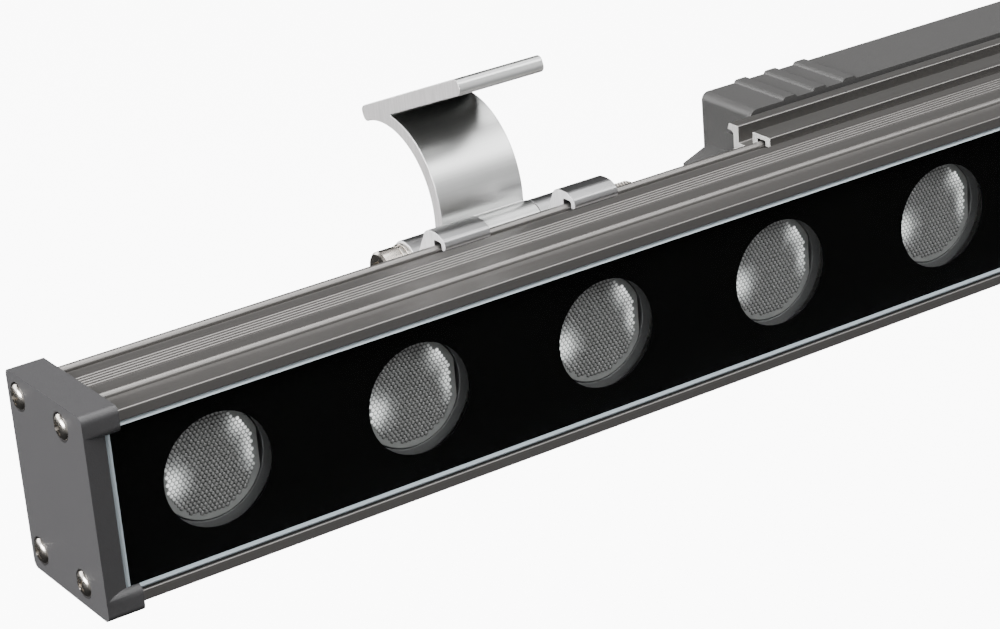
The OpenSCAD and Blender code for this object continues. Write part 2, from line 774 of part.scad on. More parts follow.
// Clamp screws, each with its head towards the nearer end of the lamp
module on_axes() both_ends() translate([bracket_x, axis_y, axis_z]) children();

module clamp_screws() placed() color("silver") on_axes() difference() {
    union() {
        rod_x(head_x, head_h, head_r);
        rod_x(head_x - clamp_l, clamp_l + head_h / 2, clamp_r);
    }
    translate([head_x + head_h / 2, 0, 0]) rotate([0, 90, 0])
        cylinder(h = head_h, r = clamp_r * 0.92, $fn = 6);
}

module washer(x, t, r) difference() {
    rod_x(x, t, r);
    rod_x(x - over, t + 2 * over, clamp_r + play);
}

module spring_washers() placed() color([0.6, 0.55, 0.5]) on_axes() difference() {
    washer(jaw_out + flat_washer_t, spring_washer_t, head_r);
    translate([jaw_out, -slip, 0]) cube([head_h, 2 * slip, 2 * head_r]);
}

module flat_washers() placed() color("silver") on_axes() washer(jaw_out, flat_washer_t, head_r + slip);

// Arms: a knuckle, a plate that curves backwards and a flange for the wall
module arm_curve() difference() {
    intersection() {
        translate(arm_c2) circle(arm_r2);
        translate(arm_c) polygon([
            [0, 0],
            2 * arm_r * flange_normal,
            [-2 * arm_r, 2 * arm_r],
            2 * ([axis_y, axis_z] - arm_c)]);
    }
    translate(arm_c) circle(arm_r);
}

module arm_outline() {
    translate([axis_y, axis_z]) circle(knuckle_r);
    arm_curve();
    // The flange, which starts where the curve turns level with it
    translate(arm_c) rotate(-flange_tilt)
        translate([flange_tail - flange_l / 2, flange_top - (flange_t + flange_sink) / 2])
            round_rect(flange_l, flange_t + flange_sink, flange_edge_r);
}

module arm() difference() {
    along_x(-arm_w / 2, arm_w) arm_outline();
    translate([0, axis_y, axis_z]) rod_x(-arm_w / 2 - over, arm_w + 2 * over, clamp_r + play);
    translate([0, arm_c[0], arm_c[1]]) rotate([-flange_tilt, 0, 0])
        translate([0, -hole_f, arm_r - over]) cylinder(h = flange_t + 2 * over, r = wall_hole_r);
}

module arm_left() placed() color([0.8, 0.8, 0.81]) translate([-bracket_x, 0, 0]) arm();
module arm_right() placed() color([0.8, 0.8, 0.81]) translate([bracket_x, 0, 0]) arm();

housing();
cap_left();
cap_right();
cap_gaskets();
cap_screws_left();
cap_screws_right();
front_glass();
glass_print();
glass_seal();
light_board();
leds();
lenses();
lens_holders();
board_screws();
board_terminal();
driver_rail();
rail_screws();
driver_plate();
driver_gasket();
driver_case();
case_screws();
driver_board();
transformer();
capacitors();
driver_choke();
power_switches();
driver_terminals();
gland_bodies();
gland_nuts();
gland_seals();
clip_left();
clip_right();
clamp_screws();
spring_washers();
flat_washers();
arm_left();
arm_right();
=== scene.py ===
# %% [markdown]
# # An outdoor wall washer light
# This lesson dresses a CAD model of a wall washer: a linear aluminium lamp with twelve lenses
# behind a long pane of glass, held by two clip brackets, with its driver on a rail behind it.
# The CAD model fixes every size. Here its pieces get their soft edges, threads, beads and
# finishes. We start by loading the model and keeping its box.

# %% Load the CAD frame
import bpy
import bmesh
import json
import math
from mathutils import Matrix, Vector


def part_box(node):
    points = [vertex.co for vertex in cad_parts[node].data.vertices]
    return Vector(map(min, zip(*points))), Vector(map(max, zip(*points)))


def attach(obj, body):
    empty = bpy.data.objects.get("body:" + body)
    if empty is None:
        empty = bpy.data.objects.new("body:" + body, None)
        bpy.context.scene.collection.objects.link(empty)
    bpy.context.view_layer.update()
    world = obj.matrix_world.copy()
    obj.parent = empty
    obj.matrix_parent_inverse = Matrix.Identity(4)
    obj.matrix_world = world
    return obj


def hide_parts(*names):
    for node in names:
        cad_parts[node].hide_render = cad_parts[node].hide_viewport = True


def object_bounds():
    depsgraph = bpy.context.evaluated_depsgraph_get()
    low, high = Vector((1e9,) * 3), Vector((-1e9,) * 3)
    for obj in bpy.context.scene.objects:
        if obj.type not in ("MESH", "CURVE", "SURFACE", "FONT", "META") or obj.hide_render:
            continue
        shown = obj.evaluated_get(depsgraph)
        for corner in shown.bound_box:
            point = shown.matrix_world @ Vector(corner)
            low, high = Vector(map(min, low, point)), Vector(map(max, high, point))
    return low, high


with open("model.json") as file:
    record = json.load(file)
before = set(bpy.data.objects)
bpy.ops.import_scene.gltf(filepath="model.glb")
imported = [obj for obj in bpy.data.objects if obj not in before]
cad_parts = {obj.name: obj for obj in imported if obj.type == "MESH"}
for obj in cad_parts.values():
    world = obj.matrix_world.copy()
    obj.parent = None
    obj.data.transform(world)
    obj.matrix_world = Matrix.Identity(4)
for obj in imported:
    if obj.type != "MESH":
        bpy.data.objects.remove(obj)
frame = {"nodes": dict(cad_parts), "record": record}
cad_box = [list(corner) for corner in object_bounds()]
SLOT_OF = {part["node"]: part["material_slot"] for part in frame["record"]["subparts"]}
print("CAD nodes:", len(frame["nodes"]), "box:", cad_box)

# %% [markdown]
# ## Millimetres and the lamp's own axes
# Blender works in metres, while a maker thinks of this lamp in millimetres from the middle of
# its front face: X along the lamp, Y from front to back, Z up. One small function turns such a
# point into the model's frame, and its zero is measured on the housing itself. A second one says
# which moving body a softened node rides on.

# %% The lamp's own axes
house_low, house_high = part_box("housing")
house_middle = (house_low + house_high) / 2
LAMP_ZERO = Vector((house_middle.x, house_low.y, house_middle.z))
MM = 0.001


def at(x, y, z):
    """A point of the lamp, in millimetres from the middle of its front face."""
    return LAMP_ZERO + Vector((x, y, z)) * MM


CLAMP_NODES = ("clamp_screws", "spring_washers", "flat_washers")


def body_for(node_name):
    """The screws and washers of the clamps ride with the clips, the rest with the lamp."""
    return "clips" if node_name in CLAMP_NODES else "lamp"


print("zero of the lamp:", [round(value, 4) for value in LAMP_ZERO])

# %% [markdown]
# ## The camera
# The photograph looks at the lamp's left end from the front left and above, through a long
# lens, so the lamp narrows only a little towards the right. The lens, place and turn of the
# camera come from matching the lens pitch and the end cap's corners with the picture.

# %% The camera
camera_data = bpy.data.cameras.new("camera")
camera_data.sensor_width = 36
camera_data.lens = 109.2
camera_data.clip_end = 50
camera = bpy.data.objects.new("camera", camera_data)
bpy.context.scene.collection.objects.link(camera)
right = Vector((0.8238, -0.5617, -0.0765))
down = Vector((-0.2794, -0.2849, -0.9169))
forward = Vector((0.4932, 0.7768, -0.3917))
turn = Matrix((right, -down, -forward)).transposed().to_4x4()
camera.matrix_world = Matrix.Translation((-0.34479, -0.54701, 0.21633)) @ turn
bpy.context.scene.camera = camera
print("camera at", tuple(camera.location))

# %% [markdown]
# ## Finishes from nodes
# Each finish is a small network of shader nodes. To keep such a network readable, one class
# wraps a node's output: adding or multiplying two of them adds a Math node. Everything else goes
# through one method, which takes the node's type, its inputs and its settings.

# %% A class for shader signals
class Signal:
    """One output socket of a finish. Sums and products of signals add Math nodes."""

    def __init__(self, finish, socket):
        self.finish = finish
        self.socket = socket

    def math(self, operation, *values):
        return self.finish.node("ShaderNodeMath", dict(enumerate(values)), operation=operation)

    def __add__(self, other):
        return self.math("ADD", self, other)

    def __radd__(self, other):
        return self.math("ADD", other, self)

    def __sub__(self, other):
        return self.math("SUBTRACT", self, other)

    def __rsub__(self, other):
        return self.math("SUBTRACT", other, self)

    def __mul__(self, other):
        return self.math("MULTIPLY", self, other)

    def __rmul__(self, other):
        return self.math("MULTIPLY", other, self)

    def __gt__(self, other):
        return self.math("GREATER_THAN", self, other)

    def __abs__(self):
        return self.math("ABSOLUTE", self)


class Finish:
    """A material under construction."""

    def __init__(self, name):
        self.material = bpy.data.materials.new(name)
        self.material.use_nodes = True
        self.tree = self.material.node_tree
        self.tree.nodes.clear()
        self.end = self.tree.nodes.new("ShaderNodeOutputMaterial")

    def node(self, kind, inputs=None, output=0, stops=None, **settings):
        made = self.tree.nodes.new(kind)
        for name, value in settings.items():
            setattr(made, name, value)
        if stops:
            for element, (place, colour) in zip(made.color_ramp.elements, stops):
                element.position = place
                element.color = (*colour, 1)
        for name, value in (inputs or {}).items():
            if isinstance(value, Signal):
                self.tree.links.new(value.socket, made.inputs[name])
            else:
                made.inputs[name].default_value = value
        return Signal(self, made.outputs[output])

    def place(self, scale=(1, 1, 1)):
        """Object coordinates, stretched by a scale."""
        coordinates = self.node("ShaderNodeTexCoord", output="Object")
        return self.node("ShaderNodeMapping", {"Vector": coordinates, "Scale": scale})

    def noise(self, scale, stretch=(1, 1, 1), detail=2.0):
        """Noise from 0 to 1 with a number of spots to the metre."""
        where = self.place([scale * s for s in stretch])
        return self.node("ShaderNodeTexNoise", {"Vector": where, "Scale": 1.0, "Detail": detail})

    def tint(self, factor, low, high):
        """A colour between two, by a factor."""
        return self.node("ShaderNodeMix", {0: factor, 6: (*low, 1), 7: (*high, 1)}, output=2,
                         data_type="RGBA")

    def scaled(self, colour, factor):
        """A colour made darker or lighter by a factor."""
        return self.node("ShaderNodeVectorMath", {0: colour, "Scale": factor}, operation="SCALE")

    def facing(self, axis):
        """How far the surface faces along one axis of the object, from -1 to 1."""
        normal = self.node("ShaderNodeTexCoord", output="Normal")
        return self.node("ShaderNodeSeparateXYZ", {0: normal}, output=axis)

    def bump(self, height, depth, strength=1.0, normal=None):
        inputs = {"Height": height, "Distance": depth, "Strength": strength}
        if normal:
            inputs["Normal"] = normal
        return self.node("ShaderNodeBump", inputs)

    def principled(self, **inputs):
        named = {name.replace("_", " "): value for name, value in inputs.items()}
        shader = self.node("ShaderNodeBsdfPrincipled", named)
        self.tree.links.new(shader.socket, self.end.inputs["Surface"])
        return self.material


def dimmed(colour, share):
    """A colour times a share of its strength."""
    return tuple(value * share for value in colour)


FINISHES = {}
print("finish classes ready")

# %% [markdown]
# ## Extrusions
# Aluminium that is pushed through a die keeps fine straight lines along its length, and the
# anodised skin over them is satin and slightly warm. A noise that is stretched along X gives
# those lines: they change the colour, the roughness and, very slightly, the surface itself. A
# saw-cut end has no such skin: it is duller, and its normal tells us where it is. On the bright
# clips and arms the faces that lie level, facing up or down, get a painted shade: their colour
# is darkened.

# %% Finishes of the extrusions
DIE_LINES = 2600
DIE_STRETCH = (0.012, 1, 1)
LINE_DEPTH = 0.006 * MM
SAW_LINES = 2200
SAW_STRETCH = (1, 1, 0.06)


def extruded(name, colour, end_colour, roughness, metallic, line_share=0.12, level_painted_shade=0.0):
    """An extrusion's finish. Level faces get a painted shade: their colour is darker by the given
    share.
    """
    made = Finish(name)
    lines = made.noise(DIE_LINES, DIE_STRETCH, 3.0)
    broad = made.noise(60, (0.15, 1, 1))
    sawn = abs(made.facing("X")) > 0.8
    saw_marks = made.noise(SAW_LINES, SAW_STRETCH)
    # Painted shade: faces that lie level, facing up or down, get a darker colour.
    level = made.node("ShaderNodeMapRange", {
        0: abs(made.facing("Z")), "From Min": 0.4, "From Max": 0.85})
    shade = (lines * line_share + broad * line_share + (1 - line_share)) * (1 - level_painted_shade * level)
    skin = made.scaled(colour, shade)
    cut = made.scaled(end_colour, 0.76 + 0.48 * saw_marks)
    metal = made.node("ShaderNodeMix", {0: sawn, 6: skin, 7: cut}, output=2, data_type="RGBA")
    rough = roughness - 0.06 + lines * 0.1 + sawn * (0.04 + 0.12 * saw_marks)
    relief = lines * (1 - sawn) + saw_marks * sawn
    FINISHES[name] = made.principled(
        Base_Color=metal, Roughness=rough, Metallic=metallic * (1 - 0.5 * sawn),
        Normal=made.bump(relief, LINE_DEPTH))


# The last number given to the silver and arm finishes is their share of painted shade on level
# faces.
extruded("anodised_housing", (0.17, 0.163, 0.157), (0.5, 0.49, 0.48), 0.33, 0.75)
extruded("rail_grey", (0.24, 0.233, 0.225), (0.72, 0.71, 0.69), 0.36, 0.9)
extruded("silver_extrusion", (0.5, 0.5, 0.505), (0.85, 0.84, 0.85), 0.34, 1.0, 0.15, 0.45)
extruded("arm_aluminium", (0.9, 0.91, 0.9), (0.64, 0.62, 0.62), 0.32, 1.0, 0.15, 0.6)
print("extrusions:", sorted(FINISHES))

# %% [markdown]
# ## Cast and powder-coated pieces
# The end caps and the driver's case are cast and then powder coated. Powder melts into a satin
# skin with a fine orange peel, and a cast wall under it is never quite flat. Two noises, one
# fine and one broad, bump the surface, and the fine one also breaks up the gloss.

# %% Finishes of the cast pieces
PEEL_DEPTH = 0.03 * MM
CAST_DEPTH = 0.12 * MM


def coated(name, colour, roughness, grain, metallic):
    """Powder coat over a casting. The grain is the number of its dimples to the metre."""
    made = Finish(name)
    fine = made.noise(grain, detail=3.0)
    broad = made.noise(90)
    peel = made.bump(fine, PEEL_DEPTH)
    cast = made.bump(broad, CAST_DEPTH, 0.5, peel)
    mottled = made.tint(fine, dimmed(colour, 0.86), dimmed(colour, 1.14))
    FINISHES[name] = made.principled(
        Base_Color=mottled, Roughness=roughness - 0.1 + 0.2 * fine,
        Metallic=metallic, Specular_IOR_Level=0.35, Normal=cast)


coated("cap_coat", (0.062, 0.061, 0.063), 0.42, 3200, 0.1)
coated("driver_grey", (0.072, 0.071, 0.07), 0.45, 2400, 0.2)
print("coated:", "cap_coat", "driver_grey")

# %% [markdown]
# ## Steel, rubber, plastic and boards
# Turned stainless steel shows faint rings and a warm tone. Rubber and mouldings are dark with a
# dull, slightly uneven skin. Most of the pieces inside the housing are never seen, yet each has
# the finish of the real one, for whoever opens the model.

# %% Finishes of the small pieces
def turned(name, colour, roughness):
    """Metal with the faint rings of a lathe."""
    made = Finish(name)
    rings = made.noise(5200, (0.2, 1, 1))
    smudge = made.noise(420)
    FINISHES[name] = made.principled(
        Base_Color=made.tint(smudge, dimmed(colour, 0.8), colour),
        Roughness=roughness - 0.08 + 0.16 * rings,
        Metallic=1.0, Normal=made.bump(rings, LINE_DEPTH))


def moulded(name, colour, roughness, grain=1800, depth=0.01 * MM):
    """Rubber, plastic or lacquer with a slightly uneven skin."""
    made = Finish(name)
    skin = made.noise(grain)
    cloud = made.noise(140)
    FINISHES[name] = made.principled(
        Base_Color=made.tint(cloud, dimmed(colour, 0.82), colour),
        Roughness=roughness - 0.08 + 0.16 * skin,
        Normal=made.bump(skin, depth))


turned("stainless", (0.66, 0.62, 0.57), 0.24)
moulded("black_rubber", (0.02, 0.02, 0.02), 0.7)
moulded("grey_silicone", (0.16, 0.16, 0.16), 0.55)
moulded("board_white", (0.78, 0.78, 0.75), 0.4)
moulded("holder_grey", (0.13, 0.13, 0.13), 0.5)
moulded("connector_white", (0.8, 0.8, 0.77), 0.45)
moulded("board_green", (0.03, 0.16, 0.06), 0.35)
moulded("winding_tape", (0.65, 0.42, 0.06), 0.3)
moulded("black_sleeve", (0.03, 0.035, 0.06), 0.28)
moulded("copper_winding", (0.55, 0.2, 0.06), 0.3, 5200, 0.04 * MM)
moulded("black_moulding", (0.025, 0.025, 0.025), 0.5)
moulded("connector_green", (0.06, 0.3, 0.1), 0.45)
moulded("black_nylon", (0.022, 0.022, 0.023), 0.42)
moulded("led_phosphor", (0.85, 0.55, 0.16), 0.3)
print("small pieces:", len(FINISHES), "finishes so far")

# %% [markdown]
# ## Glass and its black print
# The pane is clear: its edge is pale and its face only mirrors a little. So it is a transparent
# shader with a thin share of gloss that grows at a slant, which also renders without noise. The
# print behind it is dense black.

# %% Finishes of the glass and its print
def clear(name, share, edge_colour):
    """A clear pane that mirrors a share of the light. Its ground edge has a plain colour."""
    made = Finish(name)
    sheer = made.node("ShaderNodeBsdfTransparent", {"Color": (0.97, 0.98, 0.98, 1)})
    gloss = made.node("ShaderNodeBsdfGlossy", {"Color": (1, 1, 1, 1), "Roughness": 0.02})
    slant = made.node("ShaderNodeFresnel", {"IOR": 1.5})
    cloud = made.noise(90)
    mirrored = slant * (share + 0.04 * cloud)
    pane = made.node("ShaderNodeMixShader", {0: mirrored, 1: sheer, 2: gloss})
    front = abs(made.facing("Y")) > 0.97
    ground = made.node("ShaderNodeBsdfPrincipled", {
        "Base Color": (*edge_colour, 1), "Roughness": 0.3})
    pane = made.node("ShaderNodeMixShader", {0: 1 - front, 1: pane, 2: ground})
    made.tree.links.new(pane.socket, made.end.inputs["Surface"])
    FINISHES[name] = made.material


clear("clear_glass", 0.03, (0.55, 0.63, 0.68))
made = Finish("black_print")
dust = made.noise(700)
FINISHES["black_print"] = made.principled(
    Base_Color=made.tint(dust, (0.002, 0.002, 0.002), (0.003, 0.003, 0.003)),
    Roughness=0.5 + 0.1 * dust, Specular_IOR_Level=0.02)
print("glass and print ready")

# %% [markdown]
# ## The clear optics
# A lens is a solid clear body. Its side wall mirrors light forwards, and the beads on its face
# spread it, so from outside one sees a field of small spots over a grey depth, and two or three
# patches in which every bead flashes. A clear body with true refraction takes many samples, so
# the beads are real domes with a glossy skin over a plain grey body. The valleys between the
# beads get a painted shade, a darker colour. In the patches, which lie at the same places of
# every lens, painted highlights make the beads lighter, and a painted glow makes them glow a
# little.

# %% Finishes of the beaded lenses
LENS_COUNT = 12
LENS_PITCH = 49
LENS_FRONT = 6.8
BEAD_RISE = 0.22
# The share of colour left in the bead valleys by the painted shade.
VALLEY_PAINTED_SHADE = 0.15
made = Finish("clear_optic")
where = made.place()
along, depth, height = (made.node("ShaderNodeSeparateXYZ", {0: where}, output=axis)
                        for axis in "XYZ")
across = height - LAMP_ZERO.z
half_pitch = LENS_PITCH * MM / 2
along = made.node("ShaderNodeMath", {0: along - LAMP_ZERO.x, 1: 2 * half_pitch, 2: 0.0},
                  operation="WRAP") - half_pitch


def painted_highlight_spot(x, z, size, tall=1.0):
    """A soft spot of painted highlight on each lens, in millimetres from its axis: 1 in its middle,
    0 far away.
    """
    step_x = (along - x * MM) * (1 / (size * MM))
    step_z = (across - z * MM) * (1 / (size * tall * MM))
    return made.node("ShaderNodeMath", {0: 1 + step_x * step_x + step_z * step_z, 1: -2.0},
                     operation="POWER")


# Painted highlights: bright patches at the same places of every lens.
painted_highlights = painted_highlight_spot(8.2, 7.4, 4.0) + painted_highlight_spot(-9.6, -1.6, 5.0) + 0.7 * painted_highlight_spot(9.4, 0.5, 2.2, 3.0)
cloud = made.noise(420, detail=1.0)
# Painted shade: the colour darkens from the bead tops down into the valleys between them.
risen = (at(0, LENS_FRONT, 0).y - depth) * (1 / (BEAD_RISE * MM))
valley_painted_shade = made.node("ShaderNodeMath", {0: risen, 1: 1 - VALLEY_PAINTED_SHADE, 2: VALLEY_PAINTED_SHADE},
                 operation="MULTIPLY_ADD", use_clamp=True)
tone = made.node("ShaderNodeValToRGB", {"Fac": painted_highlights + 0.25 * (cloud - 0.5)}, stops=[
    (0.12, (0.33, 0.32, 0.315)), (0.6, (1, 1, 0.99))])
bead_tone_with_painted_light = made.scaled(tone, valley_painted_shade)
# The base colour carries the painted shade and highlights. The emission is a painted glow in the
# highlight patches.
FINISHES["clear_optic"] = made.principled(
    Base_Color=bead_tone_with_painted_light, Roughness=0.2 - 0.12 * cloud, Metallic=0.4 * (1 - painted_highlights),
    Emission_Color=made.scaled(bead_tone_with_painted_light, painted_highlights * painted_highlights * valley_painted_shade), Emission_Strength=1.5)
made = Finish("clear_body")
cloud = made.noise(300, detail=1.0)
FINISHES["clear_body"] = made.principled(
    Base_Color=made.tint(cloud, (0.24, 0.24, 0.235), (0.34, 0.34, 0.33)),
    Roughness=0.1 + 0.1 * cloud)
print("lens finish ready")

# %% [markdown]
# ## Giving a CAD piece its soft edges
# The CAD solids have perfectly sharp edges, which no real piece has: a cast, sawn or moulded
# edge is rounded by a few tenths of a millimetre, and it is this that catches the light. One
# could put a Bevel modifier on the CAD node, but its mesh is loose triangles. So we copy the
# mesh, merge it, dissolve its flat faces and bevel the edges that turn sharply.

# %% A helper that softens a CAD node
HAIR = 0.002 * MM
FLAT_ANGLE = math.radians(0.6)


def verts_in(items):
    """The points among what an operator returns."""
    return [item for item in items if isinstance(item, bmesh.types.BMVert)]


def everything(bm):
    """All points, edges and faces, as several operators want them."""
    return bm.verts[:] + bm.edges[:] + bm.faces[:]


def flattened(bm):
    """Merges the faces that lie in one plane."""
    bmesh.ops.dissolve_limit(bm, angle_limit=FLAT_ANGLE, use_dissolve_boundaries=False,
                             verts=bm.verts, edges=bm.edges, delimit=set())


def bevelled(bm, geom, width, segments, affect="EDGES", clamp=True):
    """Bevels edges or corners by a width in millimetres."""
    bmesh.ops.bevel(bm, geom=geom, offset=width * MM, offset_type="OFFSET", affect=affect,
                    segments=segments, profile=0.5, material=-1, clamp_overlap=clamp)


def finished(bm, name, finish, body, node_names=(), smooth_angle=35):
    """Turns a bmesh into a piece of the scene at the origin, with its finish and its body."""
    mesh = bpy.data.meshes.new(name)
    bm.to_mesh(mesh)
    bm.free()
    mesh.materials.append(FINISHES[finish])
    mesh.polygons.foreach_set("use_smooth", [True] * len(mesh.polygons))
    mesh.set_sharp_from_angle(angle=math.radians(smooth_angle))
    piece = bpy.data.objects.new(name, mesh)
    bpy.context.scene.collection.objects.link(piece)
    evened = piece.modifiers.new("evened", "WEIGHTED_NORMAL")
    evened.keep_sharp = True
    evened.weight = 60
    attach(piece, body)
    if node_names:
        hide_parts(*node_names)
    print(name, "faces:", len(mesh.polygons))
    return piece


def merged_copy(node_name):
    """A bmesh of a CAD node with its loose triangles merged into flat faces."""
    bm = bmesh.new()
    bm.from_mesh(frame["nodes"][node_name].data)
    bmesh.ops.remove_doubles(bm, verts=bm.verts, dist=HAIR)
    flattened(bm)
    return bm


def sharp_edges(bm, degrees):
    """The edges between two faces that turn by more than an angle."""
    return [edge for edge in bm.edges if len(edge.link_faces) == 2
            and edge.calc_face_angle(0) > math.radians(degrees)]


def softened(node_name, width, finish, segments=2):
    """A CAD node with its sharp edges bevelled."""
    bm = merged_copy(node_name)
    bevelled(bm, sharp_edges(bm, 28), width, segments)
    return finished(bm, node_name + "_soft", finish, body_for(node_name), [node_name])


softened("cap_left", 0.45, "cap_coat", 3)
softened("cap_right", 0.45, "cap_coat", 3)

# %% [markdown]
# ## The driver's case and back plate
# The case is one casting with three ribs across each end and a nose for each cable. Its edges
# are rounder than the caps', as a deep casting needs. The plate that closes it is thinner.

# %% The driver
softened("driver_case", 0.5, "driver_grey", 3)
softened("driver_plate", 0.3, "driver_grey")

# %% [markdown]
# ## Extruded pieces from their sections
# The housing, the rail, the clips and the arms are lengths of extrusion. Instead of bevelling
# their whole mesh, we cut the section once, as a slice would show it, round its corners as a die
# has them, and run it along X again. That gives long clean faces without any sliver. A short
# length was tumbled after the saw, so its cut ends get a narrow bevel too.

# %% A section, and a length of it
SHORT_SIDE = 0.35


def section(node_name, x_cut, corner, degrees=35, shaped=None):
    """A node's outline at x_cut, in millimetres, with rounded corners, as a flat face.

    Corners beside a very short side are left: they belong to a curve that is round already.
    """
    bm = merged_copy(node_name)
    bmesh.ops.bisect_plane(bm, geom=everything(bm), dist=0.0005 * MM,
                           plane_co=at(x_cut, 0, 0), plane_no=(1, 0, 0), clear_inner=True,
                           clear_outer=True)
    bmesh.ops.delete(bm, geom=bm.faces[:], context="FACES_ONLY")
    bmesh.ops.remove_doubles(bm, verts=bm.verts, dist=0.005 * MM)
    if shaped:
        shaped(bm)
    turning = []
    for vert in bm.verts:
        if min(edge.calc_length() for edge in vert.link_edges) > SHORT_SIDE * MM:
            ends = [edge.other_vert(vert).co - vert.co for edge in vert.link_edges]
            if ends[0].angle(ends[1], 0) < math.radians(180 - degrees):
                turning.append(vert)
    bevelled(bm, turning, corner, 4, "VERTICES")
    bmesh.ops.triangle_fill(bm, use_beauty=True, use_dissolve=False, edges=bm.edges[:])
    return bm


def length_of(bm, x_from, x_to, end_bevel=0.0):
    """Runs a section from x_from to x_to, in millimetres, and bevels its two cut ends."""
    start, stop = at(x_from, 0, 0).x, at(x_to, 0, 0).x
    for vert in bm.verts:
        vert.co.x = start
    run = bmesh.ops.extrude_face_region(bm, geom=bm.faces[:])
    bmesh.ops.translate(bm, vec=(stop - start, 0, 0), verts=verts_in(run["geom"]))
    bmesh.ops.recalc_face_normals(bm, faces=bm.faces)
    flattened(bm)
    if end_bevel:
        rims = [edge for edge in sharp_edges(bm, 60)
                if abs(edge.verts[0].co.x - edge.verts[1].co.x) < 0.01 * MM]
        bevelled(bm, rims, end_bevel, 2, clamp=False)
    return bm


def joined(shapes):
    """One bmesh from several. They are used up."""
    whole = bmesh.new()
    for shape in shapes:
        mesh = bpy.data.meshes.new("joining")
        shape.to_mesh(mesh)
        shape.free()
        whole.from_mesh(mesh)
        bpy.data.meshes.remove(mesh)
    return whole


print("section helpers ready")

# %% Housing and rail
HOUSING_END = 291.7
RAIL_END = 106
BETWEEN_LENSES = LENS_PITCH / 2
finished(length_of(section("housing", BETWEEN_LENSES, 0.3), -HOUSING_END, HOUSING_END),
         "housing_run", "anodised_housing", "lamp", ["housing"])
finished(length_of(section("driver_rail", BETWEEN_LENSES, 0.25), -RAIL_END, RAIL_END, 0.12),
         "rail_run", "rail_grey", "lamp", ["driver_rail"])

# %% [markdown]
# ## Cutting one shape out of another
# Holes, sockets and cross recesses are cut with a Boolean, as a drill or a punch would make
# them. Its result is read back into a bmesh, so that the finished piece carries no modifier
# that depends on another object.

# %% A helper that cuts
def cut_out(bm, cutter):
    """The bmesh without the cutter's shape. Both are used up."""
    objects = []
    for shape in (bm, cutter):
        mesh = bpy.data.meshes.new("cutting")
        shape.to_mesh(mesh)
        shape.free()
        objects.append(bpy.data.objects.new("cutting", mesh))
        bpy.context.scene.collection.objects.link(objects[-1])
    boolean = objects[0].modifiers.new("cut", "BOOLEAN")
    boolean.object = objects[1]
    boolean.operation = "DIFFERENCE"
    boolean.solver = "EXACT"
    boolean.use_self = True
    bpy.context.view_layer.update()
    evaluated = objects[0].evaluated_get(bpy.context.evaluated_depsgraph_get())
    result = bmesh.new()
    result.from_mesh(evaluated.to_mesh())
    evaluated.to_mesh_clear()
    for thing in objects:
        mesh = thing.data
        bpy.data.objects.remove(thing)
        bpy.data.meshes.remove(mesh)
    return result


print("cutting helper ready")

# %% [markdown]
# ## Clips and arms
# Each clip is two jaws cut from one extrusion, hooked over the housing's beads. Each arm is a
# knuckle, a curved plate and a flange with its screw hole. The arms take the strongest light of
# the whole lamp on their curve, so their long faces must be clean.

# %% The round ends of a flange
FLANGE_TURN = math.radians(21.5)
FLANGE_ALONG = Vector((0, -math.cos(FLANGE_TURN), math.sin(FLANGE_TURN)))
FLANGE_UP = Vector((0, math.sin(FLANGE_TURN), math.cos(FLANGE_TURN)))
FLANGE_ENDS = (13, -33.3)
FLANGE_FACES = (0, -3.85)
FLANGE_ROUND = 1.5
CORNER_REACH = 0.62


def flange_rounded(bm):
    """Gathers the points of each flange corner in one, and rounds it with a larger radius."""
    corners = [(FLANGE_ALONG * end + FLANGE_UP * face) * MM
               for end in FLANGE_ENDS for face in FLANGE_FACES]
    for vert in bm.verts:
        for corner in corners:
            step = vert.co - corner
            if max(abs(step.dot(FLANGE_ALONG)), abs(step.dot(FLANGE_UP))) < CORNER_REACH * MM:
                vert.co = Vector((vert.co.x, corner.y, corner.z))
    bmesh.ops.remove_doubles(bm, verts=bm.verts, dist=0.005 * MM)
    chosen = [vert for vert in bm.verts for corner in corners
              if (vert.co.yz - corner.yz).length < 0.01 * MM]
    print("flange corners:", len(chosen))
    bevelled(bm, chosen, FLANGE_ROUND, 8, "VERTICES", clamp=False)


# %% Clips and arms
BRACKET_X = 173.4
JAW_NEAR, JAW_FAR = 11.4, 23.5
JAW_CUT = 17
ARM_HALF = 11.3
ARM_CUT = 8
WALL_HOLE_R = 3.2
ALONG_FLANGE_UP = FLANGE_UP.to_track_quat("Z", "Y").to_matrix().to_4x4()
for side, sign in (("left", -1), ("right", 1)):
    middle_x = sign * BRACKET_X
    jaws = [length_of(section("clip_" + side, middle_x + shift, 0.5, 14), middle_x + low,
                      middle_x + high, 0.2)
            for shift, low, high in ((JAW_CUT, JAW_NEAR, JAW_FAR), (-JAW_CUT, -JAW_FAR, -JAW_NEAR))]
    finished(joined(jaws), "clip_" + side + "_run", "silver_extrusion", "clips", ["clip_" + side])
    plate = length_of(section("arm_" + side, middle_x + ARM_CUT, 0.6, 35, flange_rounded),
                      middle_x - ARM_HALF, middle_x + ARM_HALF, 0.25)
    hole = bmesh.new()
    hole_place = Matrix.Translation(((sign + 1) * BRACKET_X * MM, 0, 0))
    bmesh.ops.create_cone(hole, cap_ends=True, cap_tris=False, segments=40,
                          radius1=WALL_HOLE_R * MM, radius2=WALL_HOLE_R * MM, depth=12 * MM,
                          matrix=hole_place @ ALONG_FLANGE_UP)
    finished(cut_out(plate, hole), "arm_" + side + "_run", "arm_aluminium", "arms",
             ["arm_" + side])

# %% [markdown]
# ## The glass
# A pane of float glass has a ground edge: a narrow flat arris all round its front, which shows
# as a pale line along the lamp. A bevel of one segment makes it.

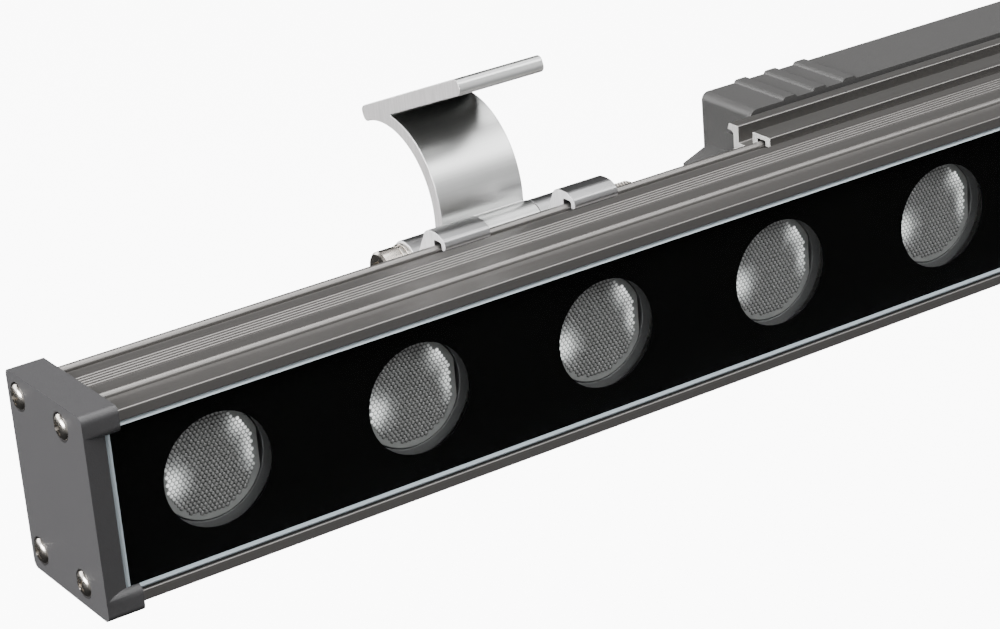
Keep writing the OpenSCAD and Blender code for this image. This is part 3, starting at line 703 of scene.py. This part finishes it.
# %% The glass pane
bm = merged_copy("front_glass")
front_y = min(vert.co.y for vert in bm.verts)
arris = [edge for edge in bm.edges
         if all(vert.co.y < front_y + 0.1 * MM for vert in edge.verts)]
bevelled(bm, arris, 0.7, 1)
finished(bm, "glass_pane", "clear_glass", "lamp", ["front_glass"])

# %% [markdown]
# ## Lenses
# Each lens is turned about its own axis: a narrow foot over the emitter, a wall that widens to
# the front, and a rim with a flat on each side. Its face carries a honeycomb of beads, one
# millimetre apart. The honeycomb starts as flat hexagons, and two insets raise every hexagon
# into a small dome, which costs only a few faces for each of several thousand beads.

# %% A helper for turned pieces
def turned_shape(bm, profile, origin, axis, steps):
    """Spins a profile of (radius, height) pairs in millimetres about an axis through origin."""
    axis = Vector(axis).normalized()
    outward = axis.orthogonal().normalized()
    verts = [bm.verts.new(origin + (outward * r + axis * h) * MM) for r, h in profile]
    edges = [bm.edges.new(pair) for pair in zip(verts, verts[1:])]
    bmesh.ops.spin(bm, geom=verts + edges, cent=origin, axis=axis, angle=math.tau, steps=steps,
                   use_merge=True, use_duplicate=False)
    bmesh.ops.remove_doubles(bm, verts=bm.verts, dist=0.001 * MM)


def closed_outwards(bm):
    """Joins the points that meet and turns every face outwards."""
    bmesh.ops.remove_doubles(bm, verts=bm.verts, dist=0.001 * MM)
    bmesh.ops.recalc_face_normals(bm, faces=bm.faces)


LENS_X = [(place - (LENS_COUNT - 1) / 2) * LENS_PITCH for place in range(LENS_COUNT)]


def repeated_along(bm, y):
    """Copies what is modelled at zero to every lens, y millimetres behind the front face."""
    model = everything(bm)
    for x in LENS_X:
        copy = bmesh.ops.duplicate(bm, geom=model)
        bmesh.ops.translate(bm, vec=at(x, y, 0), verts=verts_in(copy["geom"]))
    bmesh.ops.delete(bm, geom=verts_in(model), context="VERTS")


print("lenses at", LENS_X)

# %% The lenses' bodies
LENS_BACK, LENS_R, LENS_FLAT = 19.5, 12.4, 11.53
bm = bmesh.new()
turned_shape(bm, [(0, 3.6), (2.2, 3.6), (3.2, 3.0), (3.4, 0), (5.1, 0), (7.9, 3.4), (10.2, 7.2),
                  (12.0, 10.9), (LENS_R, 11.0), (LENS_R, 12.6), (12.3, 12.7), (0, 12.7)],
             Vector((0, 0, 0)), (0, -1, 0), 64)
for side in (-1, 1):
    cut = bmesh.ops.bisect_plane(bm, geom=everything(bm), dist=0.0001 * MM,
                                 plane_co=(side * LENS_FLAT * MM, 0, 0), plane_no=(side, 0, 0),
                                 clear_outer=True)
    rim = [item for item in cut["geom_cut"] if isinstance(item, bmesh.types.BMEdge)]
    bmesh.ops.edgenet_fill(bm, edges=rim)
closed_outwards(bm)
rim = [edge for edge in sharp_edges(bm, 40) if all(vert.co.y < -12.5 * MM for vert in edge.verts)]
bevelled(bm, rim, 0.35, 2)
repeated_along(bm, LENS_BACK)
finished(bm, "lens_bodies", "clear_body", "lamp", ["lenses"])

# %% The beads on their faces
BEAD = 1.0
ROW_STEP = 0.866 * BEAD
FIELD_R, FIELD_HALF = LENS_R - 1.3, LENS_FLAT - 1.2
FIELD_SHIFT = 0.2
SPAN = int(LENS_R / ROW_STEP) + 1
bm = bmesh.new()
for row in range(-SPAN, SPAN + 1):
    for column in range(-SPAN, SPAN + 1):
        bead_x = (column + 0.5 * (row % 2)) * BEAD
        bead_z = row * ROW_STEP
        reach = math.hypot(bead_x + FIELD_SHIFT, bead_z - FIELD_SHIFT)
        if reach < FIELD_R and abs(bead_x) < FIELD_HALF:
            spot = Matrix.Translation((bead_x * MM, 0, bead_z * MM)) @ Matrix.Rotation(
                math.radians(90), 4, "X")
            bmesh.ops.create_circle(bm, cap_ends=True, segments=6, radius=BEAD / math.sqrt(3) * MM,
                                    matrix=spot)
bmesh.ops.remove_doubles(bm, verts=bm.verts, dist=0.02 * MM)
bmesh.ops.recalc_face_normals(bm, faces=bm.faces)
if bm.faces[0].normal.y > 0:
    bmesh.ops.reverse_faces(bm, faces=bm.faces)
tops = bm.faces[:]
for inset, rise in ((0.12, 0.6 * BEAD_RISE), (0.2, 0.4 * BEAD_RISE)):
    bmesh.ops.inset_individual(bm, faces=tops, thickness=inset * MM, depth=rise * MM,
                               use_even_offset=True)
print("beads on one lens:", len(tops))
repeated_along(bm, LENS_FRONT)
beads = finished(bm, "lens_beads", "clear_optic", "lamp", smooth_angle=80)
beads.modifiers.clear()

# %% [markdown]
# ## Lens holders
# Round each lens sits a moulded cup that holds it over its emitter. Through the windows only its
# front collar shows, as a plain grey crescent beside the lens.

# %% The holders
CUP_FOOT = 21.3
bm = bmesh.new()
for x in LENS_X:
    turned_shape(bm, [(5.6, 0), (13.5, 0), (13.6, 0.3), (13.6, 13.2), (15.1, 13.4), (15.3, 13.6),
                      (15.3, 14.2), (15.1, 14.4), (12.85, 14.4), (12.7, 14.2), (12.7, 2.4),
                      (11.5, 1.4), (5.6, 1.4), (5.6, 0)],
                 at(x, CUP_FOOT, 0), (0, -1, 0), 64)
closed_outwards(bm)
finished(bm, "lens_cups", "holder_grey", "lamp", ["lens_holders"])

# %% [markdown]
# ## Pan head screws
# The end caps are held by stainless screws with a domed head and a cross recess. A turned
# profile gives the dome, and a Boolean cuts the recess with a cross that narrows downwards.

# %% Pan head screws
PAN_RISE = 1.9
RECESS_LENGTH, RECESS_WIDTH, RECESS_DEPTH = 3.9, 0.85, 1.5
RECESS_TAPER = 0.55


def cross_recess(bm, centre, axis, turn):
    """A cross cutter that narrows from a screw's top towards its shank."""
    place = Matrix.Translation(centre) @ axis.to_track_quat("Z", "Y").to_matrix().to_4x4()
    size = Matrix.Diagonal((RECESS_LENGTH * MM, RECESS_WIDTH * MM, 2 * RECESS_DEPTH * MM, 1))
    foot = centre - axis * RECESS_DEPTH * MM
    for quarter in (0, 90):
        spin = Matrix.Rotation(math.radians(quarter) + turn, 4, "Z")
        arm = bmesh.ops.create_cube(bm, size=1, matrix=place @ spin @ size)
        for vert in sorted(arm["verts"], key=lambda vert: (vert.co - centre).dot(axis))[:4]:
            vert.co = foot + (vert.co - foot) * RECESS_TAPER


def pan_screws(name, node_name, seats, axis, length, turns):
    """Screws with a domed head on each seat, each with its cross at its own turn in radians."""
    bm = bmesh.new()
    cutter = bmesh.new()
    for seat, turn in zip(seats, turns):
        turned_shape(bm, [(0, -length), (1.2, -length), (1.45, 0.4 - length), (1.45, 0), (2.85, 0),
                          (2.95, 0.12), (2.95, 0.55), (2.82, 0.95), (2.5, 1.35), (1.95, 1.66),
                          (1.2, 1.84), (0, PAN_RISE)], seat, axis, 40)
        closed_outwards(bm)
        cross_recess(cutter, seat + axis * (PAN_RISE + 0.05) * MM, axis, turn)
    return finished(cut_out(bm, cutter), name, "stainless", body_for(node_name), [node_name], 40)


SCREW_SPOTS = [(8.6, 17.6), (8.6, -17.6), (28.0, 17.6), (28.0, -17.6)]
SCREW_SEAT_X = 298.9
for side, sign in (("left", -1), ("right", 1)):
    pan_screws("cap_screws_" + side + "_cut", "cap_screws_" + side,
               [at(sign * SCREW_SEAT_X, y, z) for y, z in SCREW_SPOTS], Vector((sign, 0, 0)), 18,
               (0.5, 0.9, 0.2, 0.7))

# %% [markdown]
# ## The clamp screws
# A long socket head cap screw squeezes each clip and is its tilt axis. Its head is smooth
# with a hexagon socket, and its end is threaded into the inner jaw. A thread is a
# helix, so every point of the turned shank moves in or out by its angle and its place along it.

# %% The clamp screws
def thread(bm, origin, axis, start, end, pitch, depth, radius):
    """Presses a helical thread into the turned points between start and end."""
    axis = Vector(axis)
    first = axis.orthogonal().normalized()
    second = axis.cross(first)
    for vert in bm.verts:
        step = vert.co - origin
        height = step.dot(axis) / MM
        spoke = step - axis * step.dot(axis)
        if start < height < end and spoke.length > (radius - 0.1) * MM:
            angle = math.atan2(spoke.dot(second), spoke.dot(first)) / math.tau
            wave = abs(((height / pitch - angle) % 1) * 2 - 1)
            vert.co -= spoke.normalized() * depth * wave * MM


CLAMP_SEAT = (25.6, 43.4, 12.5)
SHANK_R = 2.5
SHANK_END = -65
THREAD_FROM, THREAD_TO = -64.6, -47
THREAD_PITCH, THREAD_DEPTH = 0.8, 0.42
RING_STEP = 0.2
HEX_R = 2.31
shapes = []
cutter = bmesh.new()
for sign in (-1, 1):
    seat = at(sign * (BRACKET_X + CLAMP_SEAT[0]), CLAMP_SEAT[1], CLAMP_SEAT[2])
    axis = Vector((sign, 0, 0))
    screw = bmesh.new()
    rings = [(SHANK_R, THREAD_FROM + RING_STEP * (step + 1)) for step in range(90)]
    turned_shape(screw, [(0, SHANK_END), (2.0, SHANK_END), (SHANK_R, SHANK_END + 0.5)] + rings
                 + [(SHANK_R, 0), (4.05, 0), (4.25, 0.25), (4.25, 4.5), (3.8, 5), (0, 5)],
                 seat, axis, 36)
    thread(screw, seat, axis, THREAD_FROM, THREAD_TO, THREAD_PITCH, THREAD_DEPTH, SHANK_R)
    closed_outwards(screw)
    shapes.append(screw)
    upright = axis.to_track_quat("Z", "Y").to_matrix().to_4x4()
    bmesh.ops.create_cone(cutter, cap_ends=True, cap_tris=False, segments=6, radius1=HEX_R * MM,
                          radius2=HEX_R * MM, depth=3.4 * MM,
                          matrix=Matrix.Translation(seat + axis * 4.0 * MM) @ upright)
finished(cut_out(joined(shapes), cutter), "clamp_screws_cut", "stainless", "clips",
         ["clamp_screws"], 30)

# %% [markdown]
# ## Washers, glands and inner pieces
# Under each head lie a split spring washer and a flat washer. The cable glands have a hexagon
# for the spanner and a fluted nut for the hand. The inner pieces get the small radii of
# mouldings and cores.

# %% Washers and inner pieces
softened("spring_washers", 0.12, "stainless")
softened("flat_washers", 0.12, "stainless")
softened("gland_bodies", 0.35, "black_nylon")
for node_name, width, finish in (
        ("transformer", 0.5, "winding_tape"), ("capacitors", 0.7, "black_sleeve"),
        ("driver_choke", 0.9, "copper_winding"), ("power_switches", 0.3, "black_moulding"),
        ("driver_terminals", 0.4, "connector_green"), ("board_terminal", 0.3, "connector_white"),
        ("light_board", 0.1, "board_white"), ("driver_board", 0.1, "board_green")):
    softened(node_name, width, finish)

# %% The gland nuts
FLUTES = 18
FLUTE_DEPTH = 0.22
NUT_MOUTHS = ((304, 15.45, 1), (110, 52.45, 1), (-110, 52.45, -1))
nuts = []
for x, y, direction in NUT_MOUTHS:
    mouth = at(x, y, 0)
    axis = Vector((direction, 0, 0))
    nut = bmesh.new()
    turned_shape(nut, [(5.25, 0), (6.1, 0), (6.4, 0.3), (6.4, 4.6), (5.9, 6.0), (4.9, 6.9),
                       (3.4, 7.2), (2.9, 7.0), (2.9, 6.0), (5.25, 6.0), (5.25, 0)], mouth, axis, 72)
    closed_outwards(nut)
    for vert in nut.verts:
        step = vert.co - mouth
        height = step.dot(axis)
        spoke = step - axis * height
        if spoke.length > 5.8 * MM and height < 6.2 * MM:
            wave = 1 - math.cos(FLUTES * math.atan2(spoke.y, spoke.z))
            vert.co -= spoke.normalized() * FLUTE_DEPTH * MM * wave
    nuts.append(nut)
finished(joined(nuts), "gland_nuts_fluted", "black_nylon", "lamp", ["gland_nuts"])

# %% [markdown]
# ## The studio
# The lamp hangs over a pale table that glows evenly, so it stays white in the picture. Such a
# table would throw so much light upwards that every metal turned flat and pale, so it is hidden
# from the lamp's own reflections. A large soft light hangs above, a weaker one in front, one on
# the left for the end cap and one behind. A plain surround gives the metal its contrast: light
# in front and above, and dark behind and below.

# %% Floor
FLOOR_HALF = 6
FLOOR_DROP = 0.35
floor_z = cad_box[0][2] - FLOOR_DROP
bm = bmesh.new()
bmesh.ops.create_grid(bm, x_segments=4, y_segments=4, size=FLOOR_HALF)
bmesh.ops.translate(bm, verts=bm.verts, vec=(0, 0, floor_z))
floor_mesh = bpy.data.meshes.new("floor")
bm.to_mesh(floor_mesh)
bm.free()
made = Finish("pale_floor")
FINISHES["pale_floor"] = made.principled(
    Base_Color=made.tint(made.noise(3), (0.93, 0.93, 0.93), (0.95, 0.95, 0.95)), Roughness=0.9,
    Specular_IOR_Level=0.0, Emission_Color=(1, 1, 1, 1), Emission_Strength=8)
floor_mesh.materials.append(FINISHES["pale_floor"])
floor = bpy.data.objects.new("floor", floor_mesh)
bpy.context.scene.collection.objects.link(floor)
floor.visible_diffuse = False
floor.visible_glossy = False
print("floor at", round(floor_z, 3))


# %% Lights
def soft_light(name, target, offset, size, power):
    """A rectangular light at an offset from its target, in metres and watts, facing it."""
    data = bpy.data.lights.new(name, "AREA")
    data.shape = "RECTANGLE"
    data.size, data.size_y = size
    data.energy = power
    light = bpy.data.objects.new(name, data)
    light.location = target + Vector(offset)
    light.rotation_mode = "QUATERNION"
    light.rotation_quaternion = (-Vector(offset)).to_track_quat("-Z", "Y")
    bpy.context.scene.collection.objects.link(light)


left_part = at(-150, 20, 0)
soft_light("top_light", left_part, (0.1, -0.1, 1.9), (2.6, 1.6), 80)
soft_light("front_card", left_part, (0.95, -1.1, 1.4), (1.6, 0.9), 21)
soft_light("left_light", left_part, (-1.9, 0.1, 0.42), (1.5, 0.7), 84)
soft_light("back_light", at(0, 60, 0), (-1.0, 1.6, 0.55), (2.0, 1.0), 34)

# %% Surround
LIGHTEST_WAY = (0, -0.75, 0.65)
SHADES = {"From Min": -0.1, "From Max": 0.85, "To Min": 0.025, "To Max": 0.6}
world = bpy.data.worlds.new("studio")
world.use_nodes = True
nodes, links = world.node_tree.nodes, world.node_tree.links
direction = nodes.new("ShaderNodeTexCoord")
lightward = nodes.new("ShaderNodeVectorMath")
lightward.operation = "DOT_PRODUCT"
lightward.inputs[1].default_value = LIGHTEST_WAY
shade = nodes.new("ShaderNodeMapRange")
for name, value in SHADES.items():
    shade.inputs[name].default_value = value
links.new(direction.outputs["Generated"], lightward.inputs[0])
links.new(lightward.outputs["Value"], shade.inputs["Value"])
links.new(shade.outputs["Result"], nodes["Background"].inputs["Strength"])
nodes["Background"].inputs["Color"].default_value = (1, 1, 1, 1)
bpy.context.scene.world = world
print("surround ready")

# %% [markdown]
# ## Finishes for the pieces that keep their CAD shape
# What is left has the right shape already: it only gets its finish, by the material slot that
# the record names for it.

# %% Remaining CAD nodes
for node_name, node in frame["nodes"].items():
    if not node.hide_render:
        node.data.materials.clear()
        node.data.materials.append(FINISHES[SLOT_OF[node_name]])
        print(node_name, "in", SLOT_OF[node_name])
